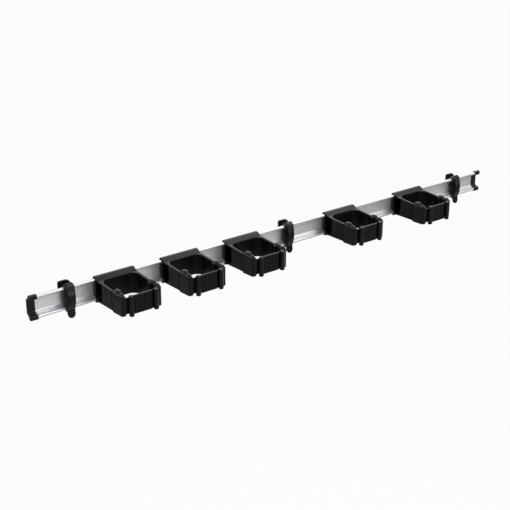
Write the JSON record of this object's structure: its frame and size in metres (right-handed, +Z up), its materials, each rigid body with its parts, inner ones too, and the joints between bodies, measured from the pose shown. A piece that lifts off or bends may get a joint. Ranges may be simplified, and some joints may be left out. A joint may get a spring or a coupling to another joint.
{
  "type": "wall mop holder rack",
  "caption": "Aluminium wall rail with clip brackets and black tool holders that slide along it; each has a rubber strap with a ribbed front that grips a pushed-in mop or broom handle.",
  "frame": {"origin": "the middle bracket's screw hole at the wall plane, halfway along the rail and at the rail's mid height", "axes": "+X along the rail to the viewer's right, +Y into the wall, +Z up"},
  "size_m": [0.9416, 0.0942, 0.0534],
  "materials": {
    "rail": "satin anodised, drawn along its length",
    "end_caps": "moulded black, fine texture",
    "brackets": "moulded black, satin",
    "yokes": "moulded black, fine texture",
    "straps": "moulded black rubber, matt"
  },
  "bodies": {
    "rack": {"rail": "rail", "left_end_cap": "end_caps", "right_end_cap": "end_caps", "left_wall_plate": "brackets", "middle_wall_plate": "brackets", "right_wall_plate": "brackets"},
    "left_leaf": {"left_release_leaf": "brackets"},
    "middle_leaf": {"middle_release_leaf": "brackets"},
    "right_leaf": {"right_release_leaf": "brackets"},
    "holder_1": {"holder_1_yoke": "yokes", "holder_1_left_sleeve": "straps", "holder_1_right_sleeve": "straps"},
    "holder_1_grip": {"holder_1_grip_panel": "straps"},
    "holder_2": {"holder_2_yoke": "yokes", "holder_2_left_sleeve": "straps", "holder_2_right_sleeve": "straps"},
    "holder_2_grip": {"holder_2_grip_panel": "straps"},
    "holder_3": {"holder_3_yoke": "yokes", "holder_3_left_sleeve": "straps", "holder_3_right_sleeve": "straps"},
    "holder_3_grip": {"holder_3_grip_panel": "straps"},
    "holder_4": {"holder_4_yoke": "yokes", "holder_4_left_sleeve": "straps", "holder_4_right_sleeve": "straps"},
    "holder_4_grip": {"holder_4_grip_panel": "straps"},
    "holder_5": {"holder_5_yoke": "yokes", "holder_5_left_sleeve": "straps", "holder_5_right_sleeve": "straps"},
    "holder_5_grip": {"holder_5_grip_panel": "straps"}
  },
  "joints": [
    {"name": "left_leaf_flex", "type": "hinge", "parent": "rack", "child": "left_leaf", "pos_m": [-0.40856, -0.0098, 0.0197], "axis": [-1, 0, 0], "range_deg": [0, 15], "stiffness_Nm_per_rad": 1},
    {"name": "middle_leaf_flex", "type": "hinge", "parent": "rack", "child": "middle_leaf", "pos_m": [0, -0.0098, 0.0197], "axis": [-1, 0, 0], "range_deg": [0, 15], "stiffness_Nm_per_rad": 1},
    {"name": "right_leaf_flex", "type": "hinge", "parent": "rack", "child": "right_leaf", "pos_m": [0.40248, -0.0098, 0.0197], "axis": [-1, 0, 0], "range_deg": [0, 15], "stiffness_Nm_per_rad": 1},
    {"name": "holder_1_slide", "type": "slide", "parent": "rack", "child": "holder_1", "axis": [1, 0, 0], "range_m": [-0.029, 0.0225]},
    {"name": "holder_1_grip_press", "type": "slide", "parent": "holder_1", "child": "holder_1_grip", "axis": [0, 1, 0], "range_m": [0, 0.013], "stiffness_N_per_m": 1500},
    {"name": "holder_2_slide", "type": "slide", "parent": "rack", "child": "holder_2", "axis": [1, 0, 0], "range_m": [-0.0225, 0.024]},
    {"name": "holder_2_grip_press", "type": "slide", "parent": "holder_2", "child": "holder_2_grip", "axis": [0, 1, 0], "range_m": [0, 0.013], "stiffness_N_per_m": 1500},
    {"name": "holder_3_slide", "type": "slide", "parent": "rack", "child": "holder_3", "axis": [1, 0, 0], "range_m": [-0.024, 0.047]},
    {"name": "holder_3_grip_press", "type": "slide", "parent": "holder_3", "child": "holder_3_grip", "axis": [0, 1, 0], "range_m": [0, 0.013], "stiffness_N_per_m": 1500},
    {"name": "holder_4_slide", "type": "slide", "parent": "rack", "child": "holder_4", "axis": [1, 0, 0], "range_m": [-0.066, 0.045]},
    {"name": "holder_4_grip_press", "type": "slide", "parent": "holder_4", "child": "holder_4_grip", "axis": [0, 1, 0], "range_m": [0, 0.013], "stiffness_N_per_m": 1500},
    {"name": "holder_5_slide", "type": "slide", "parent": "rack", "child": "holder_5", "axis": [1, 0, 0], "range_m": [-0.045, 0.075]},
    {"name": "holder_5_grip_press", "type": "slide", "parent": "holder_5", "child": "holder_5_grip", "axis": [0, 1, 0], "range_m": [0, 0.013], "stiffness_N_per_m": 1500}
  ]
}
